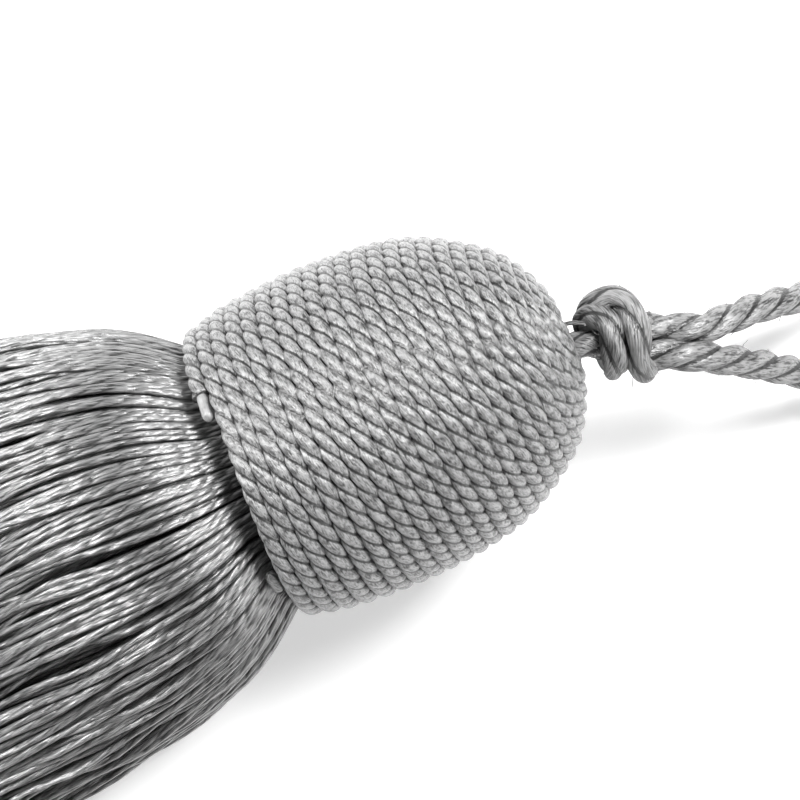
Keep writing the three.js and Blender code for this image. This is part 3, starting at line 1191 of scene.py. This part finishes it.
@dataclass
class Knot:
    """The overhand knot at the crown, with the two legs of the loop drawn through it.

    Attributes:
        plan: The plan that its points are in.
        rope: The rope.
        inner_wrap: Points of the wrap nearer the head, with heights from the knot's middle.
        outer_wrap: Points of the wrap nearer the loop.
        upper_stub: Side and height offsets of the upper leg at the crown, from the axis.
        lower_stub: The same of the lower leg.
        upper_core: Points of the upper leg inside the knot.
        lower_core: Points of the lower leg inside the knot.
        stub_in: How far the legs reach into the crown.
        stub_out: How far out of it they run straight on.
    """

    plan: Plan
    rope: Rope
    inner_wrap: tuple[tuple[float, float, float], ...] = (
        (-5.0, 0.4, -2.6),
        (-5.6, 1.8, 0.6),
        (-4.2, 2.3, 3.4),
        (-2.3, 1.0, 4.9),
        (-1.5, -1.7, 5.0),
        (-1.0, -4.6, 3.4),
        (-0.9, -6.0, 0.2),
        (-1.0, -4.8, -3.2),
        (-2.2, -1.6, -4.4),
    )
    outer_wrap: tuple[tuple[float, float, float], ...] = (
        (-3.8, 2.2, -3.6),
        (-4.9, 3.2, -0.6),
        (-3.9, 4.6, 2.0),
        (-1.2, 5.5, 3.2),
        (1.2, 4.0, 4.6),
        (2.3, 1.2, 5.2),
        (2.7, -1.9, 5.1),
        (3.0, -4.6, 3.6),
        (4.1, -6.4, 1.2),
        (4.8, -6.0, -1.8),
        (3.4, -3.2, -4.2),
        (1.2, 0.8, -4.6),
        (-2.0, 3.2, -4.2),
    )
    upper_stub: tuple[float, float] = (-2.7, 0.6)
    lower_stub: tuple[float, float] = (-2.5, -3.4)
    upper_core: tuple[tuple[float, float, float], ...] = (
        (-2.4, -1.6, 0.9),
        (2.4, 0.6, 0.6),
        (5.4, 1.3, 0.15),
    )
    lower_core: tuple[tuple[float, float, float], ...] = (
        (-2.6, -2.4, -2.6),
        (1.8, -3.3, -1.2),
        (5.4, -3.95, 0.1),
    )
    stub_in: float = 0.8
    stub_out: float = 1.2

    def routes(self) -> list[np.ndarray]:
        """Gathers the points that the knot's lengths of rope pass through.

        Returns:
            The points of each length in metres: both legs, and then both wraps.
        """
        form = self.plan.form
        straight = np.array([form.length - self.stub_in, form.length + self.stub_out])
        routes = []
        for stub, core in ((self.upper_stub, self.upper_core), (self.lower_stub, self.lower_core)):
            start = form.at(straight, stub[0], stub[1])
            routes.append(np.vstack([start, self.plan.at(core, self.plan.height)]))
        for wrap in (self.inner_wrap, self.outer_wrap):
            routes.append(self.plan.at(wrap, self.plan.height))
        return routes

    def build(self, material: bpy.types.Material) -> bpy.types.Object:
        """Makes the knot.

        Args:
            material: The rope's finish.

        Returns:
            The knot's object.
        """
        piece = self.rope.along("knot_rope", self.routes())
        settle(piece, material, Slot.ROPE, "knot")
        return piece


@dataclass
class Loop:
    """The hanging loop, laid on the floor as it lies in the photograph.

    Attributes:
        plan: The plan that its points are in.
        rope: The rope.
        route: The rope's points, from the knot around the loop and back.
        path_step: A distance between points of a path; not used.
    """

    plan: Plan
    rope: Rope
    route: tuple[tuple[float, float, float], ...] = (
        (4.4, 0.6, 30.0),
        (7.8, 0.5, 29.4),
        (12, 0.5, 28.9),
        (15, 0.85, 28.0),
        (18, 1.85, 26.6),
        (23, 3.7, 23.5),
        (29, 5.4, 18.9),
        (35, 6.7, 13.9),
        (41, 7.8, 9.3),
        (47, 8.8, 5.7),
        (53, 9.6, 3.4),
        (60, 10.2, 2.6),
        (67, 10.5, 2.45),
        (73.5, 10.4, 2.45),
        (78.8, 8.98, 2.45),
        (82.68, 5.1, 2.45),
        (84.1, -0.2, 2.45),
        (82.68, -5.5, 2.45),
        (78.8, -9.38, 2.45),
        (73.5, -10.8, 2.45),
        (67, -11.0, 2.45),
        (60, -10.8, 2.45),
        (53, -10.2, 3.1),
        (47, -9.4, 5.1),
        (41, -8.4, 8.5),
        (35, -7.3, 13.1),
        (29, -6.2, 18.2),
        (23, -5.3, 23.2),
        (17, -4.6, 27.5),
        (12, -4.15, 30.2),
        (7.8, -4.1, 30.6),
        (4.4, -4.1, 30.2),
    )
    path_step: float = 2.0

    def build(self, material: bpy.types.Material) -> bpy.types.Object:
        """Args:
            material: The rope's finish.

        Returns:
            The loop's object.
        """
        points = self.plan.at(self.route)
        points[:, 2] = np.maximum(points[:, 2], self.rope.radius * MM)
        piece = self.rope.along("hanging_loop", [points])
        settle(piece, material, Slot.ROPE, "loop")
        return piece


@dataclass
class LooseFibres:
    """Stray filaments that stand off the rope, and the thread end at the crown.

    Attributes:
        form: The dome.
        routes: The rope's routes, in metres.
        rope_radius: The rope's radius.
        count: The number of filaments.
        radius: A filament's radius.
        shortest: The shortest filament's length.
        longest: The longest filament's length.
        rooted: How deep its root lies, as a share of the rope's radius.
        lean: The most that it leans along the rope, as a share of its length.
        bend_at: Where it bends, as a share of its length.
        bend_lean: How much of the lean it has by then.
        tip_out: How far out its tip is, as a share of its length.
        thread: Points of the thread end, along, to the side and up from the head's axis.
        thread_radius: The thread's radius.
        thread_step: The distance between rings of the thread.
        seed: The seed of the random numbers.
    """

    form: HeadForm
    routes: list[np.ndarray]
    rope_radius: float
    count: int = 150
    radius: float = 0.05
    shortest: float = 0.8
    longest: float = 2.2
    rooted: float = 0.8
    lean: float = 1.2
    bend_at: float = 0.4
    bend_lean: float = 0.3
    tip_out: float = 0.8
    thread: tuple[tuple[float, float, float], ...] = (
        (58.5, 1.7, 1.6),
        (60.6, 1.4, 2.2),
        (62.5, 0.4, 2.2),
        (64.0, -1.2, 1.4),
    )
    thread_radius: float = 0.36
    thread_step: float = 0.4
    seed: int = 7

    def build(self, material: bpy.types.Material) -> list[bpy.types.Object]:
        """Makes the filaments and the thread end.

        Args:
            material: The rope's finish.

        Returns:
            Their objects.
        """
        rng = np.random.default_rng(self.seed)
        lines = [smooth_route(route, MM) for route in self.routes]
        sizes = np.array([len(line) for line in lines], float)
        hairs = []
        for pick in rng.choice(len(lines), self.count, p=sizes / sizes.sum()):
            line = lines[pick]
            at = rng.integers(1, len(line) - 1)
            along = line[at + 1] - line[at - 1]
            along /= np.linalg.norm(along)
            away = np.cross(along, rng.standard_normal(3))
            away /= np.linalg.norm(away)
            size = rng.uniform(self.shortest, self.longest)
            root = line[at] + away * self.rooted * self.rope_radius * MM
            lean = along * rng.uniform(-self.lean, self.lean)
            bend = root + (away + self.bend_lean * lean) * self.bend_at * size * MM
            end = root + (self.tip_out * away + lean) * size * MM
            path = np.array([root, bend, end])
            path[:, 2] = np.maximum(path[:, 2], self.radius * MM)
            hairs.append(path)
        fuzz = tubes("loose_fibres", hairs, self.radius * MM, roundness=0)
        weld(fuzz)
        settle(fuzz, material, Slot.ROPE)
        points = self.form.at(*np.array(self.thread).T)
        line = smooth_route(points, self.thread_step * MM)
        thread = tubes("crown_thread", [line], self.thread_radius * MM, roundness=2)
        weld(thread)
        settle(thread, material, Slot.ROPE)
        return [fuzz, thread]


# Studio

@dataclass(frozen=True)
class SoftLight:
    """A square soft light.

    Attributes:
        name: The light's name.
        offset: Its place from what it faces, in metres.
        size: Its side, in metres.
        power: Its power, in watts.
    """

    name: str
    offset: tuple[float, float, float]
    size: float
    power: float


@dataclass
class Studio:
    """A pale floor, soft lights and the camera above the tassel.

    Attributes:
        target: What the camera looks at, in millimetres.
        roll: The angle of the picture's right side from +X, in degrees.
        distance: From the target to the camera, in metres.
        lens: The lens, in millimetres.
        nearest: The nearest that the camera sees, in metres.
        floor_size: From the floor's middle to its sides, in metres.
        floor_colour: The paper's colour.
        floor_roughness: The paper's roughness.
        floor_glow: How much light the paper gives, as on a light table.
        sky_colour: The colour of the light from all around.
        sky: The strength of that light.
        lights: The soft lights.
    """

    target: tuple[float, float, float] = (50.75, 1.75, 28.0)
    roll: float = -23.7
    distance: float = 0.38
    lens: float = 100.0
    nearest: float = 0.01
    floor_size: float = 2.0
    floor_colour: str = "#F4F4F4"
    floor_roughness: float = 0.9
    floor_glow: float = 0.35
    sky_colour: str = "#FFFFFF"
    sky: float = 0.15
    lights: tuple[SoftLight, ...] = (
        SoftLight("key", (0.34, 0.16, 0.47), 0.2, 5.2),
        SoftLight("fill", (-0.5, 0.34, 0.36), 0.25, 6.2),
        SoftLight("side", (0.34, -0.4, 0.3), 0.25, 1.5),
    )

    def build(self) -> None:
        """Makes the camera, the lights, the floor and the sky."""
        self.add_camera()
        self.add_floor()
        for light in self.lights:
            self.add_light(light)
        world = bpy.data.worlds.new("studio")
        world.use_nodes = True
        background = world.node_tree.nodes["Background"]
        background.inputs["Color"].default_value = linear(self.sky_colour)
        background.inputs["Strength"].default_value = self.sky
        bpy.context.scene.world = world
        bpy.context.scene.view_settings.view_transform = "Standard"

    def add_camera(self) -> None:
        """Sets the camera straight above its target, turned as the photograph is."""
        data = bpy.data.cameras.new("camera")
        data.lens = self.lens
        data.clip_start = self.nearest
        camera = linked("camera", data)
        turn = Matrix.Rotation(math.radians(self.roll), 4, "Z")
        place = Matrix.Translation(Vector(self.target) * MM + Vector((0, 0, self.distance)))
        camera.matrix_world = place @ turn
        bpy.context.scene.camera = camera

    def add_floor(self) -> None:
        """Lays the pale floor."""
        shape = bmesh.new()
        bmesh.ops.create_grid(shape, x_segments=1, y_segments=1, size=self.floor_size)
        mesh = bpy.data.meshes.new("floor")
        shape.to_mesh(mesh)
        shape.free()
        floor = linked("floor", mesh)
        material = bpy.data.materials.new("pale matt paper")
        material.use_nodes = True
        shader = material.node_tree.nodes["Principled BSDF"]
        shader.inputs["Base Color"].default_value = linear(self.floor_colour)
        shader.inputs["Roughness"].default_value = self.floor_roughness
        shader.inputs["Emission Color"].default_value = linear(self.floor_colour)
        shader.inputs["Emission Strength"].default_value = self.floor_glow
        mesh.materials.append(material)

    def add_light(self, light: SoftLight) -> None:
        """Adds a light that faces the camera's target.

        Args:
            light: The light.
        """
        data = bpy.data.lights.new(light.name, "AREA")
        data.size = light.size
        data.energy = light.power
        lamp = linked(light.name, data)
        offset = Vector(light.offset)
        lamp.location = Vector(self.target) * MM + offset
        lamp.rotation_euler = (-offset).to_track_quat("-Z", "Y").to_euler()


def main() -> None:
    """Builds the studio and the tassel, piece by piece."""
    logging.basicConfig(level=logging.INFO, format="%(name)s: %(message)s")
    form = HeadForm()
    plan = Plan(form)
    rope = Rope(radius=2.8)
    drawn_rope = Rope(lay=26.0, fullness=0.64)
    Studio().build()

    # Satin viscose rope: smooth strands with filaments nearly along the rope, and painted shade in its
    # grooves.
    rope_satin = YarnFinish(
        "satin viscose rope", "#8C8C8C", "#202020", fibre=0.3, around=15.0, lay=21.0, unlay=0.8,
        plies=3, laid=True, crease_shade=1.5, thinness=16.0, drawn=5.0, stretch=3.0, mottle=0.7, spread=0.12,
        roughness=0.4,
    ).build()
    # The same rope drawn tight in the knot, strands pressed into one smooth bundle; painted shade in its
    # grooves.
    knot_satin = YarnFinish(
        "tight satin viscose rope", "#8A8A8A", "#202020", fibre=0.3, around=15.0, lay=26.0, unlay=3.0,
        plies=3, laid=True, crease_shade=1.1, thinness=16.0, drawn=3.5, stretch=1.5, mottle=0.7, spread=0.12,
        shine=0.9, roughness=0.38,
    ).build()
    # Satin viscose cord: plump plies, a bright streak across their fibres, painted shade in the grooves.
    cord_satin = YarnFinish(
        "satin viscose wrap cord", "#949494", "#303030", fibre=0.22, around=10.9, lay=10.2, unlay=0.8,
        plies=3, laid=True, crease_shade=1.1, thinness=12.0, drawn=3.5, mottle=0.8, spread=0.16,
        roughness=0.36,
    ).build()
    # Satin viscose yarn: two fine plies that show as short slanted marks, partly bump, partly painted
    # shade.
    yarn_satin = YarnFinish(
        "satin viscose skirt yarn", "#929292", "#242424", fibre=0.2, around=3.2, lay=4.8, unlay=0.0,
        plies=2, crease_shade=0.3, thinness=2.0, stretch=6.0, mottle=1.2, uneven=5.0, roughness=0.36,
        index=1.8,
    ).build()
    # The cord's filaments where they are gathered at its tip: smooth and pale.
    tip_satin = YarnFinish(
        "gathered filaments", "#A8A8A8", "#808080", fibre=0.2, around=6.0, lay=10.2, unlay=0.0, shine=0.5,
    ).build()
    # The same yarn, darkened as painted shade under the cord: a dull ground between the turns and in the
    # mouth.
    painted_shade_core_thread = YarnFinish(
        "bound core thread", "#484848", "#2C2C2C", fibre=0.4, around=8.4, lay=5.2, unlay=0.0,
        roughness=0.8, shine=0.3, satin=False,
    ).build()

    loop = Loop(plan, rope)
    knot = Knot(plan, drawn_rope)
    loop.build(rope_satin)
    knot.build(knot_satin)
    LooseFibres(form, [plan.at(loop.route), *knot.routes()], rope.radius).build(rope_satin)
    WrapCord(form).build(cord_satin, tip_satin)
    HeadCore(form).build(painted_shade_core_thread, cord_satin)
    Skirt(form).build(yarn_satin, painted_shade_core_thread)


if __name__ == "__main__":
    main()
